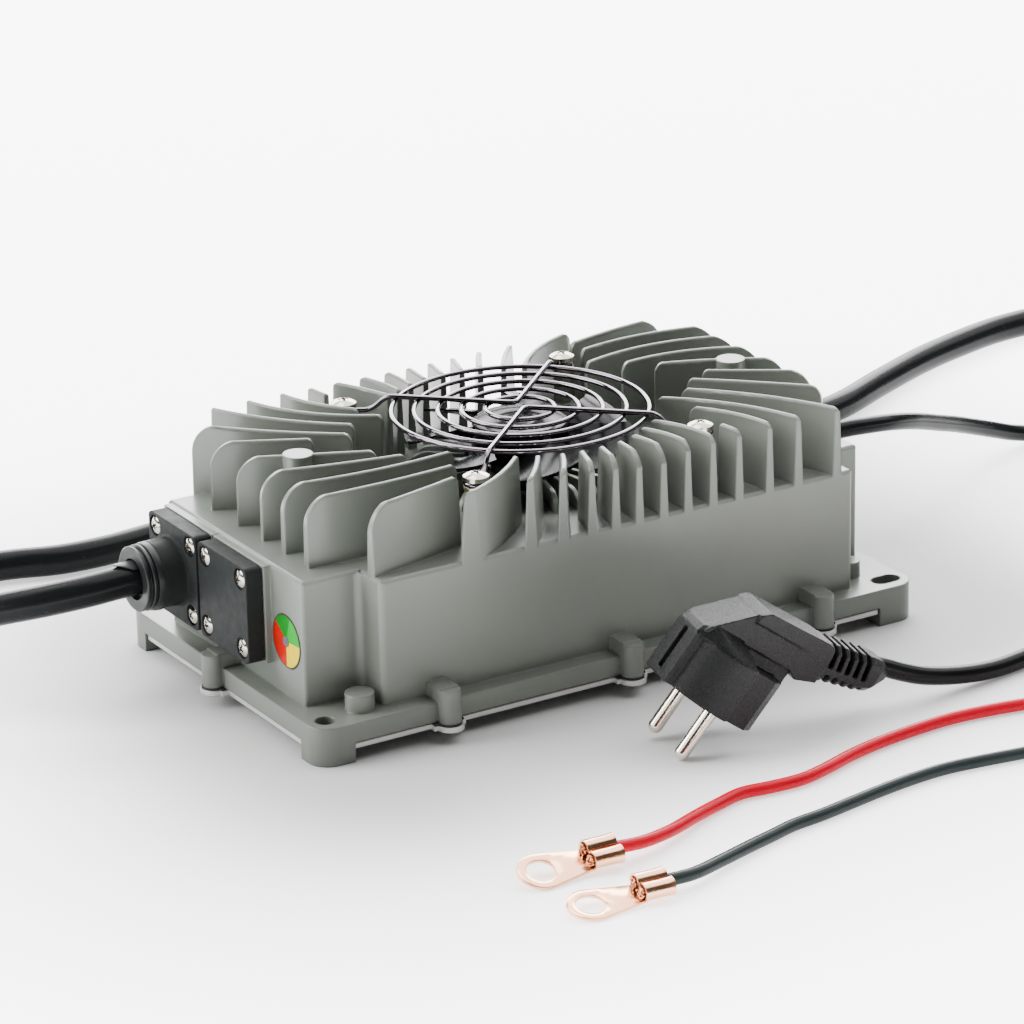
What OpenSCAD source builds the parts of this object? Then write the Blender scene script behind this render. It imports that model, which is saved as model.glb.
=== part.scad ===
// Sealed battery charger: a die-cast finned housing with a fan on top, two cable
// entries, a flat base plate, and its mains cord and battery leads.
// The settings are in millimetres. Z = 0 is the plane of the four feet, the long
// side runs along X, and the fan's axis is X = 0, Y = 0.
// The modules draw on a grid of k millimetres, and full_size() brings each piece
// to its real size.

/* [Housing] */
// Length of the mounting flange
flange_length = 231.2; // [228:0.2:235]
// Width of the mounting flange
flange_width = 131.2; // [129:0.2:134]
// Height of the flange's upper face above the feet
flange_height = 13.1; // [12.5:0.1:14]
// Height of the deck that the fins stand on
deck_height = 55.4; // [54:0.1:57]
// Height of the fin tops
fin_height = 78.7; // [76:0.1:80]
// Mean thickness of one cooling fin
fin_thickness = 2.6; // [2.2:0.1:3]
// Wall thickness of the casting
wall_thickness = 3.3; // [2.9:0.1:4]

/* [Fan] */
// Pitch of the four guard posts
post_pitch = 86; // [85:0.2:87]
// Outer radius of the fan blades
blade_radius = 39; // [36:0.5:40]
// Number of fan blades
blade_n = 7; // [5:1:9]
// Wire diameter of the guard's rings
ring_wire_d = 1.6; // [1.4:0.1:1.8]

/* [Cable entries] */
// Side of the square entry panels
panel_side = 32.8; // [31.2:0.2:33.4]
// Thickness of the entry panels
panel_thickness = 5.6; // [5:0.1:6.4]
// Outer diameter of the battery cable
battery_cable_d = 10.7; // [10:0.1:11.4]
// Outer diameter of the mains cord
mains_cord_d = 6.2; // [5.8:0.1:6.6]
// Outer diameter of each battery lead
battery_lead_d = 4.1; // [3.8:0.1:4.4]
// Hole of the ring terminals
terminal_hole_d = 9; // [8.6:0.1:9.4]

/* [Mounting] */
// Diameter of the round holes and width of the slots
mount_hole_d = 6.6; // [6:0.1:7]
// Length of the slots at the right-hand end
mount_slot_l = 10.7; // [10:0.1:13]

/* [Hidden] */
$fn = 64;
eps = 0.01;
k = 0.82;                    // millimetres to one grid unit
module full_size() scale(k) children();
flange_l = flange_length/k;
flange_w = flange_width/k;
flange_top = flange_height/k;
deck_z = deck_height/k;
fin_top = fin_height/k;
fin_t = fin_thickness/k;
wall = wall_thickness/k;
guard_pitch = post_pitch/k;
blade_r = blade_radius/k;
ring_wire = ring_wire_d/k;
panel_s = panel_side/k;
panel_t = panel_thickness/k;
dc_d = battery_cable_d/k;
ac_d = mains_cord_d/k;
lead_d = battery_lead_d/k;
lug_hole = terminal_hole_d/k;
hole_d = mount_hole_d/k;
slot_l = mount_slot_l/k;

H = guard_pitch/2;
floor_z = 8;                 // underside of the flange
main_x0 = -107.5;            // left face of the wide part of the body
main_x1 = 114.2;               // right face of the wide part
main_y = 71.5;               // half width of the wide part
end_x = 133;                 // both end walls
left_y = 55.5;               // half width of the left end
right_y = 48;                // half width of the right end
pad_t = 3;                   // how far the panel seats stand proud
pad_z0 = 26.5;               // lower and upper edge of the panel seats
pad_z1 = deck_z-0.7;
panel_zc = 47;
dc_y = 32; blank_y = -10; ac_y = 18;
gk = 0.6;                    // thickness of the panel gaskets
px = end_x+pad_t+gk;         // back face of the panels
lamp_y = -42; lamp_z = 39;

// mounting holes
hole_x0 = -133; hole_x1 = 131; hole_y = 71;

// pillars that take the base screws: [x, y, direction of the block behind]
pillars = [[-84,-82,90],[0,-82,90],[92,-82,90],[84,82,-90],[0,82,-90],[-92,82,-90],[-143,2,0],[143,-2,180]];

// ---------- 2-D helpers ----------
// rectangle with round corners made from true arcs
module rrect(x0, x1, y0, y1, r) {
  translate([x0+r, y0]) square([x1-x0-2*r, y1-y0]);
  translate([x0, y0+r]) square([x1-x0, y1-y0-2*r]);
  for (x=[x0+r, x1-r], y=[y0+r, y1-r]) translate([x,y]) circle(r=r);
}
// inside corner fillet, quadrant q (0..3)
module fillet2(x, y, r, q) translate([x,y]) rotate(90*q) difference() {
  translate([-0.5,-0.5]) square(r+0.5);
  translate([r,r]) circle(r=r);
}

// outline of the body walls, d = inset
module body_outline(d=0) {
  rrect(main_x0+d, main_x1-d, -main_y+d, main_y-d, 2.5);
  rrect(-end_x+d, main_x0+20, -left_y+d, left_y-d, 1.5);
  rrect(main_x1-20, end_x-d, -right_y+d, right_y-d, 2);
  if (d == 0) {
    fillet2(main_x0, -left_y, 3, 2);
    fillet2(main_x0, left_y, 3, 1);
    fillet2(main_x1, -right_y, 3, 3);
    fillet2(main_x1, right_y, 3, 0);
  }
}

// ---------- fins ----------
// each fin: outer end x, y, inner end x, y, sagitta (left of outer-to-inner), outer and inner corner radius
end_fins = [
  // left-hand group
  [-107,-64,-61.5,-52.8,-0.6,12,4],
  [-123,-42,-55,-41,-1.6,12,4],
  [-123,-23.5,-48,-27,-3.4,12,4],
  [-123,-6,-64.5,-20,-1.2,12,5],
  [-123,14,-72.5,-10,0,12,5],
  [-123,36,-86.5,16.5,0,12,4],
  [-118.5,59.5,-71,13,-2.4,12,5],
  // right-hand group
  [111,67.8,61.5,59.5,-1.6,12,4],
  [125,45.5,60.5,49.6,-5,12,4],
  [124.5,29,53,34,-7.6,12,4],
  [124.5,10.5,65,25,-6.4,12,5],
  [125,-8,76,17.2,-2.3,12,5],
  [125,-27,87.5,-1,0,12,4],
  [116.5,-45.8,76.5,-6.5,-0.8,7,4]];
// the two rows end flush with the long walls
row_fins = [
  // front row
  [-66.5,-71.5,-30,-45.8,-2.4,6,3],
  [-39.5,-71.5,-22.5,-50,-0.8,6,3],
  [-24.5,-71.5,-13.5,-53.5,-0.7,7,3],
  [-11,-71.5,-5.5,-55,0,8,3],
  [0,-71.5,3.5,-55,0,9,3],
  [11,-71.5,12.5,-54,0,10,3],
  [22.5,-71.5,20.5,-51,-1.4,11,3],
  [34,-71.5,28,-46,-2.2,8,3],
  [46,-71.5,36.5,-40.5,-2.8,7,3],
  [58.5,-71.5,57,-60.5,0,6,2],
  [73.2,-71.5,58.3,-36.5,-3.2,6.5,4],
  [87.2,-71.5,53.5,-18.7,-4.8,6.5,4],
  [106.2,-71.5,68,-15.7,-3.8,6.5,4],
  // rear row
  [-102.2,71.5,-64.5,22.3,-3.8,3,4],
  [-86,71.5,-49.3,25.6,-6.2,3,4],
  [-70.5,71.5,-54,37.8,-2.8,3,4],
  [-57.5,71.5,-56,60,0,3,2],
  [-45.5,71.5,-35,45,0.8,4,3],
  [-33,71.5,-28.5,48,1.2,4,3],
  [-21.3,71.5,-21,51.5,0.6,4,3],
  [-11,71.5,-12.5,54,0,4,3],
  [-0.5,71.5,-3.5,55,0,4,3],
  [10.5,71.5,5.5,55,0,4,3],
  [23.5,71.5,13.5,53.5,-0.7,4,3],
  [38.5,71.5,22.5,50,-0.8,4,3],
  [64.8,71.5,29.5,45,-3.4,5,3]];
fin_z0 = deck_z-2.5;         // the fins are rooted in the deck

// section of a fin: it tapers upwards and its crest is round
module fin_profile(h) {
  wt = fin_t-1.1; wb = fin_t+1;
  r = wt/2+0.06;
  polygon([[-wb/2,0], [wb/2,0], [wt/2,h-r], [-wt/2,h-r]]);
  translate([0, h-r]) circle(r=r);
}
module fin_side(c, h, ro, ri) difference() {
  square([c, h+1]);
  // the corner arcs end a little above the crest, so they cross it instead of only touching it
  translate([-1, h-ro+0.3]) difference() { square([ro+1, ro+2]); translate([ro+1, 0]) circle(r=ro); }
  translate([c-ri, h-ri+0.3]) difference() { square([ri+1, ri+2]); circle(r=ri); }
}
// the fin reaches e past its outer end, for the wall plane to cut
module fin(f, e=0) {
  h = fin_top-fin_z0;
  c = norm([f[2]-f[0], f[3]-f[1]]);
  s = f[4];
  translate([f[0], f[1], fin_z0]) rotate(atan2(f[3]-f[1], f[2]-f[0])) intersection() {
    if (abs(s) < 0.3)
      translate([-10,0,0]) rotate([90,0,90]) linear_extrude(c+20) fin_profile(h);
    else {
      R = (c*c/4 + s*s)/(2*abs(s));
      a = asin(c/2/R);
      g = 10/R*57.3;
      mirror([0, s < 0 ? 1 : 0, 0]) translate([c/2, -(R-abs(s)), 0]) rotate(90-a-g)
        rotate_extrude(angle=2*(a+g), $fn=180) translate([R,0]) fin_profile(h);
    }
    translate([-e, fin_t+abs(s)+2, 0]) rotate([90,0,0]) linear_extrude(2*fin_t+2*abs(s)+4) fin_side(c+e, h, f[5], f[6]);
  }
}
module row_fin(f) intersection() {
  fin(f, (fin_t+1)/2*abs((f[2]-f[0])/(f[3]-f[1]))+0.4);
  translate([-200,-main_y,fin_z0-1]) cube([400, 2*main_y, 60]);
}
// upright rib under the fan blades, rounded off at its outer end
module low_rib(a) rotate(a) translate([0,1,deck_z]) rotate([90,0,0]) linear_extrude(2) {
  translate([24,-0.5]) square([15, 8]);
  intersection() { translate([38.5,-3]) circle(r=10.5); translate([38,-0.5]) square([12,9]); }
}
// cutter that bevels a straight upper edge from [x0,y0] to [x1,y1]
bevel = 1.2;
module edge_cut(x0, y0, x1, y1) translate([x0,y0,deck_z]) rotate(atan2(y1-y0, x1-x0))
  rotate([45,0,0]) translate([-2,-bevel*0.7071,-bevel*0.7071]) cube([norm([x1-x0,y1-y0])+4, bevel*1.4142, bevel*1.4142]);
module body_block() difference() {
  translate([0,0,flange_top-1]) linear_extrude(deck_z-flange_top+1) body_outline();
  for (s=[-1,1]) {
    edge_cut(main_x0, s*main_y, main_x1, s*main_y);
    edge_cut(main_x1+2, s*right_y, end_x, s*right_y);
    edge_cut(-end_x, s*left_y, main_x0-2, s*left_y);
    edge_cut(main_x0, s*(left_y+2), main_x0, s*main_y);
    edge_cut(main_x1, s*(right_y+2), main_x1, s*main_y);
  }
  edge_cut(-end_x, -left_y, -end_x, left_y);
  edge_cut(end_x, -right_y, end_x, right_y);
}

module pillar(p) translate([p[0], p[1], 0]) {
  translate([0,0,floor_z]) cylinder(d=9, h=21.5-floor_z);
  rotate(p[2]) translate([0,-4.25,floor_z]) cube([12, 8.5, 22-floor_z]);
}

module flange_plate(z0, z1, d=0) translate([0,0,z0]) linear_extrude(z1-z0)
  rrect(-flange_l/2+d, flange_l/2-d, -flange_w/2+d, flange_w/2-d, 9-d);

module foot(x0, x1, y0, y1, r) intersection() {
  translate([0,0,-0.01]) linear_extrude(floor_z+1) rrect(-flange_l/2, flange_l/2, -flange_w/2, flange_w/2, 9);
  translate([x0, y0, 0]) cube([x1-x0, y1-y0, floor_z+0.5]);
}
module rot2() { children(); rotate(180) children(); }

module panel_holes(x, y, d, l) for (u=[-14.5,14.5], v=[-14.5,14.5])
  translate([x, y+u, panel_zc+v]) rotate([0,90,0]) cylinder(d=d, h=l);

module housing() full_size() color("#9aa09c") difference() {
  union() {
    flange_plate(floor_z, flange_top);
    body_block();
    // seats of the entry panels
    translate([-end_x-pad_t, dc_y-20.6, pad_z0]) cube([pad_t+2, 41.2, pad_z1-pad_z0]);
    translate([-end_x-pad_t, blank_y-20.6, pad_z0]) cube([pad_t+2, 41.2, pad_z1-pad_z0]);
    translate([end_x-2, ac_y-20.6, pad_z0]) cube([pad_t+2, 41.2, pad_z1-pad_z0]);
    for (p=pillars) pillar(p);
    // corner pillars on the flange
    for (q=[[-116,-68,11.6],[-116,68,11.6],[121,-59,9.4],[121,59,9.4]]) translate([q[0],q[1],flange_top-1]) cylinder(d=q[2], h=8);
    // feet
    foot(-flange_l/2-1, -125, -flange_w/2-1, -65.5);
    foot(-flange_l/2-1, -125, 65.5, flange_w/2+1);
    foot(122, flange_l/2+1, -flange_w/2-1, -65.5);
    foot(122, flange_l/2+1, 65.5, flange_w/2+1);
    // fins
    for (f=end_fins) fin(f);
    for (f=row_fins) row_fin(f);
    // two ejector bosses that end level with the fins
    translate([-100.5,4,deck_z-1]) cylinder(d=12, h=fin_top-deck_z+1);
    translate([105,4,deck_z-1]) cylinder(d=12, h=fin_top-deck_z+1);
    // ribs under the fan and the guard's bosses
    for (i=[0:29]) low_rib(12*i+4);
    for (x=[-H,H], y=[-H,H]) translate([x,y,deck_z-1]) cylinder(d=9.5, h=7);
  }
  // inside of the casting, with the board posts left standing
  translate([0,0,floor_z-1]) linear_extrude(board_z+board_t-floor_z+1) body_outline(wall);
  translate([0,0,board_z+board_t-0.5]) linear_extrude(deck_z-4.5-board_z-board_t+0.5) difference() {
    body_outline(wall);
    for (q=board_posts) translate(q) circle(d=8);
  }
  // base screw holes
  for (p=pillars) translate([p[0],p[1],floor_z-1]) cylinder(d=4.2, h=11);
  // mounting holes
  for (y=[-hole_y,hole_y]) {
    translate([hole_x0,y,-1]) cylinder(d=hole_d, h=flange_top+2);
    translate([hole_x1-(slot_l-hole_d)/2,y,-1]) cylinder(d=hole_d, h=flange_top+2);
    translate([hole_x1+(slot_l-hole_d)/2,y,-1]) cylinder(d=hole_d, h=flange_top+2);
    translate([hole_x1-(slot_l-hole_d)/2,y-hole_d/2,-1]) cube([slot_l-hole_d, hole_d, flange_top+2]);
  }
  // cable passages
  translate([-end_x-pad_t-1, dc_y, panel_zc]) rotate([0,90,0]) cylinder(d=20, h=pad_t+wall+3);
  translate([end_x-wall-2, ac_y, panel_zc]) rotate([0,90,0]) cylinder(d=16, h=pad_t+wall+3);
  // panel screw holes
  panel_holes(-end_x-pad_t-1, dc_y, 4.2, 6);
  panel_holes(-end_x-pad_t-1, blank_y, 4.2, 6);
  panel_holes(end_x+pad_t-5, ac_y, 4.2, 6);
  // status window seat and lamp hole
  translate([-end_x-1, lamp_y, lamp_z]) rotate([0,90,0]) cylinder(d=22.4, h=1.6);
  translate([-end_x-1, lamp_y, lamp_z]) rotate([0,90,0]) cylinder(d=5.2, h=wall+2);
  // guard post holes, motor screw holes and board post holes
  for (x=[-H,H], y=[-H,H]) translate([x,y,deck_z-2]) cylinder(d=5.2, h=10);
  for (a=[30,150,270]) rotate(a) translate([15,0,deck_z-3]) cylinder(d=3.2, h=4);
  translate([0,0,deck_z-5]) cylinder(d=6, h=6);
  for (q=board_posts) translate([q[0],q[1],board_z+board_t-1]) cylinder(d=3.2, h=12);
}

// ---------- base plate ----------
module plate_outline(d=0) difference() {
  union() {
    rrect(-flange_l/2+1+d, flange_l/2-1-d, -flange_w/2+1+d, flange_w/2-1-d, 8);
    for (p=pillars) translate([p[0],p[1]]) circle(r=5.6-d);
    for (p=pillars) translate([p[0],p[1]]) rotate(p[2]) translate([0,-7+d]) square([8,14-2*d]);
  }
  for (x=[-1,1], y=[-1,1]) translate([x > 0 ? 121.5-d : -160, y > 0 ? 65-d : -100]) square([x > 0 ? 40 : 35.5+d, 35+d]);
}
module base_screw_holes(d, z0, h) for (p=pillars) translate([p[0],p[1],z0]) cylinder(d=d, h=h);
module base_plate() full_size() color("#d6d8d4") difference() {
  translate([0,0,5.2]) linear_extrude(2) plate_outline();
  base_screw_holes(4.4, 4, 5);
}
module base_gasket() full_size() color("#111111") difference() {
  translate([0,0,7.2]) linear_extrude(0.8) difference() {
    plate_outline(0.8);
    rrect(-125,125,-42,42,3);
    rrect(-100,104,-64,64,3);
  }
  base_screw_holes(4.6, 6.5, 3);
}
module pan_screw(d, hd, hh, l, rec) {
  // head above z = 0 with a cross recess, shank below
  difference() {
    intersection() {
      cylinder(d=hd, h=hh);
      translate([0,0,hh-hd*0.9]) sphere(r=hd*0.9);
    }
    for (a=[0,90]) rotate(a) translate([-rec/2,-rec/8,hh-rec*0.32]) cube([rec, rec/4, rec]);
  }
  translate([0,0,-l]) cylinder(d=d, h=l+0.5);
}
module base_screws() full_size() color("#c9c9c4") for (p=pillars) translate([p[0],p[1],5.2]) rotate([180,0,0]) pan_screw(4, 7.6, 2.1, 10, 3.6);

// ---------- entry panels ----------
module panel_block(x0, y) difference() {
  translate([x0, 0, 0]) rotate([90,0,90]) linear_extrude(panel_t)
    rrect(y-panel_s/2, y+panel_s/2, panel_zc-panel_s/2, panel_zc+panel_s/2-0.3, 2.5);
  panel_holes(x0-1, y, 4.4, panel_t+2);
}
module counterbores(x, y, s) for (u=[-14.5,14.5], v=[-14.5,14.5])
  translate([x, y+u, panel_zc+v]) rotate([0,s*90,0]) translate([0,0,-2.2]) cylinder(d=8.6, h=4);
barrel = 10.4;
module dc_gland_panel() full_size() color("#26282a") difference() {
  union() {
    panel_block(-px-panel_t, dc_y);
    translate([-px-panel_t+1, dc_y, panel_zc]) rotate([0,-90,0]) cylinder(r=14, h=barrel+1);
    translate([-px-panel_t+0.5, dc_y, panel_zc]) rotate([0,-90,0]) cylinder(r1=15, r2=14, h=1.9);
  }
  counterbores(-px-panel_t, dc_y, -1);
  translate([-px-panel_t-barrel-2, dc_y, panel_zc]) rotate([0,90,0]) cylinder(d=dc_d+0.1, h=panel_t+barrel+4);
}
module seat_gasket(x0, y, bore) color("#0d0d0d") difference() {
  translate([x0, y-panel_s/2+0.6, panel_zc-panel_s/2+0.6]) cube([gk, panel_s-1.2, panel_s-1.5]);
  translate([x0-1, y, panel_zc]) rotate([0,90,0]) cylinder(d=bore, h=gk+2);
  panel_holes(x0-1, y, 4.6, gk+2);
}
module dc_panel_gasket() full_size() seat_gasket(-end_x-pad_t-gk, dc_y, 18);
module panel_screws(x, y, s) color("#cfcfc8") for (u=[-14.5,14.5], v=[-14.5,14.5])
  translate([x, y+u, panel_zc+v]) rotate([0,s*90,0]) rotate(20*u+7*v) translate([0,0,-2.2]) pan_screw(4, 7.2, 2.9, 9.5, 3.8);
module dc_panel_screws() full_size() panel_screws(-px-panel_t, dc_y, -1);
// clamping nut with two grooves, a domed end and a split top lug
module dc_gland_nut() full_size() color("#1c1d1f") translate([-px-panel_t-barrel, dc_y, panel_zc]) rotate([0,-90,0]) difference() {
  union() {
    cylinder(r=13.2, h=2);
    translate([0,0,1.6]) cylinder(r=12.2, h=1.4);
    translate([0,0,2.6]) cylinder(r=13.6, h=2);
    translate([0,0,4.2]) cylinder(r=12.2, h=1.4);
    translate([0,0,5.2]) cylinder(r=13, h=2.4);
    translate([0,0,7.6]) cylinder(r1=13, r2=11, h=2);
  }
  translate([0,0,-1]) cylinder(d=dc_d+0.1, h=13);
  // relief around the cable at the mouth
  translate([0,0,7.4]) cylinder(d=dc_d+3, h=5);
  // split lines of the two clamping jaws
  for (a=[0,180]) rotate(a) translate([9.3,-0.4,6.8]) cube([6,0.8,4]);
}
module blank_panel() full_size() color("#2b2d2f") difference() {
  panel_block(-px-panel_t, blank_y);
  counterbores(-px-panel_t, blank_y, -1);
}
module blank_panel_gasket() full_size() seat_gasket(-end_x-pad_t-gk, blank_y, 18);
module blank_panel_screws() full_size() panel_screws(-px-panel_t, blank_y, -1);
module ac_gland_panel() full_size() color("#26282a") difference() {
  panel_block(px, ac_y);
  counterbores(px+panel_t, ac_y, 1);
  translate([px-1, ac_y, panel_zc]) rotate([0,90,0]) cylinder(d=ac_d+0.1, h=panel_t+12);
}
module ac_panel_gasket() full_size() seat_gasket(end_x+pad_t, ac_y, 14);
module ac_panel_screws() full_size() panel_screws(px+panel_t, ac_y, 1);
// tapered rubber sleeve with grooves
module ac_strain_relief() full_size() color("#161616") translate([px+panel_t, ac_y, panel_zc]) rotate([0,90,0]) difference() {
  union() {
    cylinder(r=10.5, h=3);
    translate([0,0,2.9]) cylinder(r1=8, r2=5.4, h=17.1);
  }
  translate([0,0,-1]) cylinder(d=ac_d+0.1, h=25);
  for (z=[6,9.2,12.4,15.6]) translate([0,0,z]) difference() { cylinder(r=10, h=1.4); translate([0,0,-1]) cylinder(r=7.1-z*0.13, h=4); }
}

// ---------- fan ----------
motor_top = 76.6;
module fan_motor_base() full_size() color("#1a1b1d") difference() {
  union() {
    translate([0,0,deck_z]) cylinder(r=19, h=3);
    translate([0,0,deck_z]) cylinder(r=12.5, h=motor_top-deck_z);
    translate([0,0,motor_top-0.1]) cylinder(r=6.2, h=9.4);
  }
  translate([0,0,deck_z-1]) cylinder(d=3.4, h=30);
  // bearing seats
  translate([0,0,motor_top+5.3]) cylinder(d=8, h=6);
  translate([0,0,deck_z-1]) cylinder(d=8, h=5);
  for (a=[30,150,270]) rotate(a) translate([15,0,deck_z-1]) cylinder(d=3.4, h=6);
}
module fan_base_screws() full_size() color("#b9b9b4") for (a=[30,150,270]) rotate(a) translate([15,0,deck_z+3]) pan_screw(3, 4.6, 1.6, 5.8, 2.4);
module fan_bearings() full_size() color("#c8c8c8") for (z=[deck_z+1, motor_top+5.3]) translate([0,0,z]) difference() {
  cylinder(d=8, h=3);
  translate([0,0,-1]) cylinder(d=3.06, h=5);
  for (w=[-0.5, 2.5]) translate([0,0,w]) difference() { cylinder(d=6.6, h=1); translate([0,0,-1]) cylinder(d=4.6, h=3); }
}
module fan_stator() full_size() color("#8a5a2c") difference() {
  translate([0,0,motor_top+0.4]) cylinder(r=14, h=7);
  translate([0,0,motor_top-1]) cylinder(r=6.25, h=10);
}
module fan_shaft() full_size() color("#b0b4b8") translate([0,0,deck_z+0.4]) cylinder(d=3, h=91-deck_z-0.4);
hub_z0 = 77.6; hub_z1 = 92;
module fan_magnet() full_size() color("#3a3a3c") difference() {
  translate([0,0,hub_z0+0.4]) cylinder(r=17.5, h=7.6);
  translate([0,0,hub_z0-1]) cylinder(r=15.3, h=12);
}
// a blade is a pitched plate between the hub and the swept circle
module blade(a) rotate(a) intersection() {
  translate([18,-9,(hub_z0+hub_z1)/2-0.4]) rotate([33,0,0]) translate([0,-12.5,-0.9]) cube([blade_r, 25, 1.8]);
  translate([0,0,hub_z0+0.7]) difference() {
    cylinder(r=blade_r, h=hub_z1-hub_z0-1.6);
    translate([0,0,-1]) cylinder(r=18.6, h=20);
  }
}
module fan_rotor() full_size() color("#15171a") difference() {
  union() {
    translate([0,0,hub_z0]) cylinder(r=20, h=hub_z1-hub_z0-1.5);
    translate([0,0,hub_z1-1.5]) cylinder(r1=20, r2=18.5, h=1.5);
    for (i=[0:blade_n-1]) blade(i*360/blade_n+146);
  }
  // bell of the rotor
  translate([0,0,hub_z0-1]) cylinder(r=17.5, h=9.6);
  translate([0,0,hub_z0-1]) cylinder(d=3, h=14.4);
}

post_top = 88.6;
module guard_posts() full_size() color("#aeb0aa") for (x=[-H,H], y=[-H,H]) translate([x,y,0]) difference() {
  union() {
    translate([0,0,deck_z+6]) cylinder(d=8, h=post_top-deck_z-6, $fn=6);
    translate([0,0,deck_z-1.8]) cylinder(d=5, h=9);
  }
  translate([0,0,post_top-9]) cylinder(d=4.2, h=10);
}
ring_z = 96.1;
wire_z = 97.5;
eye_z = 91.1;
vw = 2.1;
rings = [52.2, 43, 33.4, 23.8, 14];
// each bent wire is one length: eye, arm, elbow, arm, eye; it lies on the rings and is welded to them
eye_r = 4.3;
function arm(m, s) = [[m*45, s*45.6, eye_z], [m*42.6, s*43.2, eye_z+2], [m*40.6, s*41.3, wire_z-1.6], [m*38.4, s*39.3, wire_z]];
function eye(m, s) = let(a0=atan2(-s,-m)) [for (k=[9:-1:0]) let(a=a0+m*s*(18+33*k)) [m*H+eye_r*cos(a), s*H+eye_r*sin(a), eye_z]];
function v_path(s) = concat(eye(-1,s), arm(-1,s), [[-2.6,s*5.6,wire_z], [-1,s*4.3,wire_z], [1,s*4.3,wire_z], [2.6,s*5.6,wire_z]],
  [for (i=[3:-1:0]) arm(1,s)[i]], [for (i=[9:-1:0]) eye(1,s)[i]]);
module fan_guard() full_size() color("#b9b6bb") {
  for (r=rings) translate([0,0,ring_z]) rotate_extrude($fn=120) translate([r,0]) circle(d=ring_wire, $fn=20);
  for (s=[-1,1]) tube(v_path(s), vw, 10);
}
module guard_washers() full_size() color("#d0cfa8") for (x=[-H,H], y=[-H,H]) translate([x,y,0]) {
  translate([0,0,post_top]) difference() { cylinder(d=10, h=1.4); translate([0,0,-1]) cylinder(d=4.3, h=4); }
}
module guard_screws() full_size() color("#cfccc6") for (x=[-H,H], y=[-H,H]) translate([x,y,eye_z+vw/2]) rotate(x+y*0.7) pan_screw(4, 10.4, 3.4, 9.5, 4.6);

// ---------- status light ----------
module status_window() full_size() color("#3a7d34") translate([-end_x, lamp_y, lamp_z]) rotate([0,90,0]) difference() {
  translate([0,0,-0.2]) cylinder(d=22, h=0.8);
  translate([0,0,-1]) cylinder(d=4.2, h=3);
}
module status_lamp() full_size() color("#9a9aa0") translate([-end_x, lamp_y, lamp_z]) rotate([0,90,0]) {
  translate([0,0,-0.6]) cylinder(d=4.1, h=1.3);
  translate([0,0,0.6]) cylinder(d=5.1, h=5);
}

// ---------- inside ----------
board_posts = [[-95,-58],[-95,56],[98,-58],[98,56],[-118,0],[118,-22],[10,-58]];
board_z = 12.4;              // underside of the board
board_t = 1.6;
bt = board_z+board_t;        // its upper face
module circuit_board() full_size() color("#1d6b3a") difference() {
  translate([0,0,board_z]) linear_extrude(board_t) {
    rrect(-126,126,-38,38,2);
    rrect(-126,0,-48,48,2);
    rrect(-101,105,-65,60,2);
  }
  for (q=board_posts) translate([q[0],q[1],0]) cylinder(d=3.4, h=30);
}
module board_screws() full_size() color("#c0c0bc") for (q=board_posts) translate([q[0],q[1],board_z]) rotate([180,0,0]) pan_screw(3, 5.4, 1.8, 8, 2.6);
module transformer() full_size() color("#3b3d40") difference() {
  translate([-20,-30,bt]) cube([42,48,42]);
  for (y=[-22,-2]) translate([-30,y,bt+6]) cube([60,12,30]);
}
module transformer_winding() full_size() color("#c99a3a") translate([0,0,bt+6]) linear_extrude(29.6) difference() {
  rrect(-31,33,-21.7,9.7,4);
  translate([-20.3,-10.3]) square([42.6,8.6]);
}
choke_c = [70,-8,bt+23.3];
module choke_core() full_size() color("#d9c14a") translate(choke_c) rotate([90,0,0]) rotate_extrude() translate([13,-8]) square([8,16]);
module choke_winding() full_size() color("#b5652b") translate(choke_c) for (i=[0:15]) rotate([0,22.5*i,0]) translate([17,0,0]) difference() {
  translate([-6.3,-10.5,-1.1]) cube([12.6,21,2.2]);
  translate([-4.15,-8.1,-2]) cube([8.3,16.2,4]);
}
module capacitors() full_size() color("#22314f") for (q=[[-84,-30],[-84,2],[-84,34],[-54,34]]) translate([q[0],q[1],bt]) cylinder(d=25, h=38);
module power_transistors() full_size() color("#1b1b1d") for (i=[0:5]) translate([-60+i*22, 0, 0]) {
  translate([0, main_y-wall-5.5, 24]) cube([16, 5, 20]);
  for (k=[0:2]) translate([2.4+k*5, main_y-wall-3.5-6, bt]) { cube([1.2, 0.8, 26-bt]); translate([0,0,25.2-bt]) cube([1.2, 5, 0.8]); }
}
module insulating_pad() full_size() color("#d8d3c0") translate([-64, main_y-wall-0.5, 20]) cube([134, 0.5, 27]);
module terminal_blocks() full_size() color("#2f5f3a") {
  translate([-126,dc_y-9,bt]) cube([16,15,42]);
  translate([110,ac_y-8,bt]) cube([16,16,42]);
}

// ---------- cords ----------
// Catmull-Rom through the route points
function cr(a,b,c,d,t) = 0.5*(2*b + (c-a)*t + (2*a-5*b+4*c-d)*t*t + (3*b-3*c+d-a)*t*t*t);
function route(p, n) = [for (i=[0:len(p)-2], k=[0:n-1])
   cr(p[max(i-1,0)], p[i], p[i+1], p[min(i+2,len(p)-1)], k/n), p[len(p)-1]];
function unit(v) = v/norm(v);
function tang(p, i) = unit(p[min(i+1,len(p)-1)] - p[max(i-1,0)]);
module tube(p, d, n=10) {
  m = len(p);
  pts = [for (i=[0:m-1]) let(t=tang(p,i), s=unit(cross(t,[0,0,1])), u=cross(s,t))
    for (k=[0:n-1]) p[i] + d/2*(cos(360*k/n)*s + sin(360*k/n)*u)];
  polyhedron(pts, concat([[for (k=[n-1:-1:0]) k]],
    [for (i=[0:m-2], k=[0:n-1]) [i*n+k, i*n+(k+1)%n, (i+1)*n+(k+1)%n, (i+1)*n+k]],
    [[for (k=[0:n-1]) (m-1)*n+k]]), convexity=10);
}

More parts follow.
